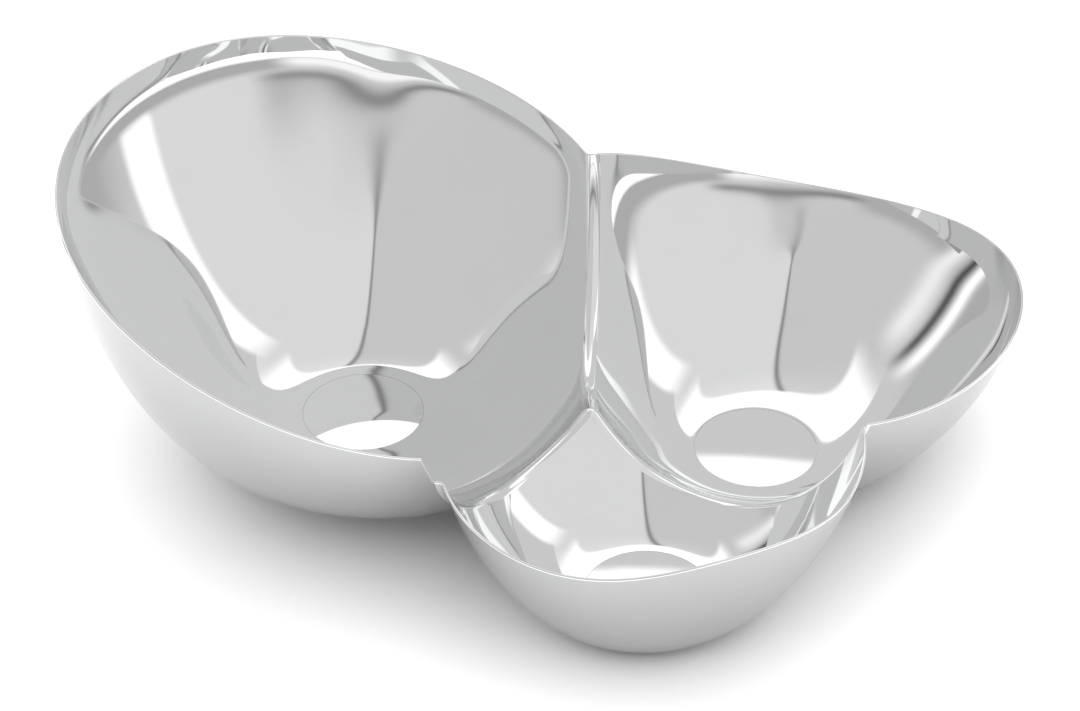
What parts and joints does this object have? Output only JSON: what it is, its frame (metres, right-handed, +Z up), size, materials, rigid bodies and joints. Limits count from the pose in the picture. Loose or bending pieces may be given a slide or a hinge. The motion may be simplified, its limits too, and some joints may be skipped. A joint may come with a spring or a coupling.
{
  "type": "chip and dip bowl",
  "caption": "Mirror-polished metal serving bowl whose open lobes of different sizes run into one another along rounded ridges, with flat floor discs and wavy rims.",
  "frame": {"origin": "middle of the outline, on the table plane under the floor discs", "axes": "+X from the large bowl towards the medium bowl, +Y from the small bowl towards the back, +Z up"},
  "size_m": [0.4002, 0.3018, 0.1369],
  "materials": {
    "polished_steel": "mirror-polished steel sheet",
    "polished_seam": "ground and mirror-polished steel seam",
    "polished_base": "mirror-polished steel disc"
  },
  "bodies": {
    "root": {"large_bowl": "polished_steel", "medium_bowl": "polished_steel", "small_bowl": "polished_steel", "large_medium_seam": "polished_seam", "large_small_seam": "polished_seam", "medium_small_seam": "polished_seam", "large_base": "polished_base", "medium_base": "polished_base", "small_base": "polished_base"}
  },
  "joints": []
}
